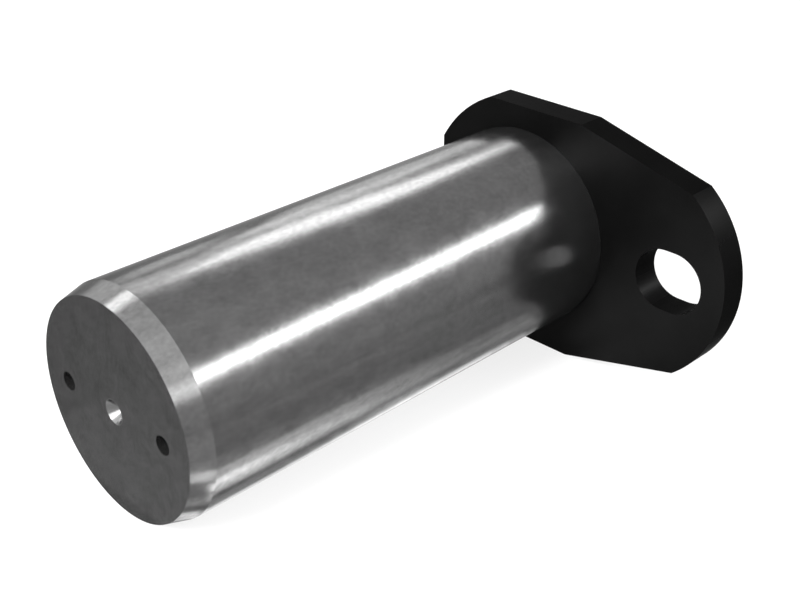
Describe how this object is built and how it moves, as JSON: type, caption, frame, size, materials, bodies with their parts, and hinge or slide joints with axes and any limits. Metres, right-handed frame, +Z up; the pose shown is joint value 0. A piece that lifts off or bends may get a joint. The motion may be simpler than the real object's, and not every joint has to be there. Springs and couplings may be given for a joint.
{
  "type": "flagged linkage pin",
  "caption": "Turned steel linkage pin with a lead-in taper and a welded black flag plate that a keeper bolt holds through an obround slot.",
  "frame": {"origin": "on the shaft's axis, in the plane of the flag's front face, where the pin seats", "axes": "+X along the shaft towards its free end, +Y along the flag towards the bolt slot, +Z up as the pin lies on the flag's level lower edge and the free end"},
  "size_m": [0.211, 0.1355, 0.098],
  "materials": {
    "bare_steel": "fine-turned and ground, satin, lightly clouded, bare",
    "black_paint": "satin black paint on flat plate",
    "painted_weld": "satin black paint over a rippled weld"
  },
  "bodies": {
    "root": {"pin_shaft": "bare_steel", "flag_plate": "black_paint", "weld_bead": "painted_weld"}
  },
  "joints": []
}
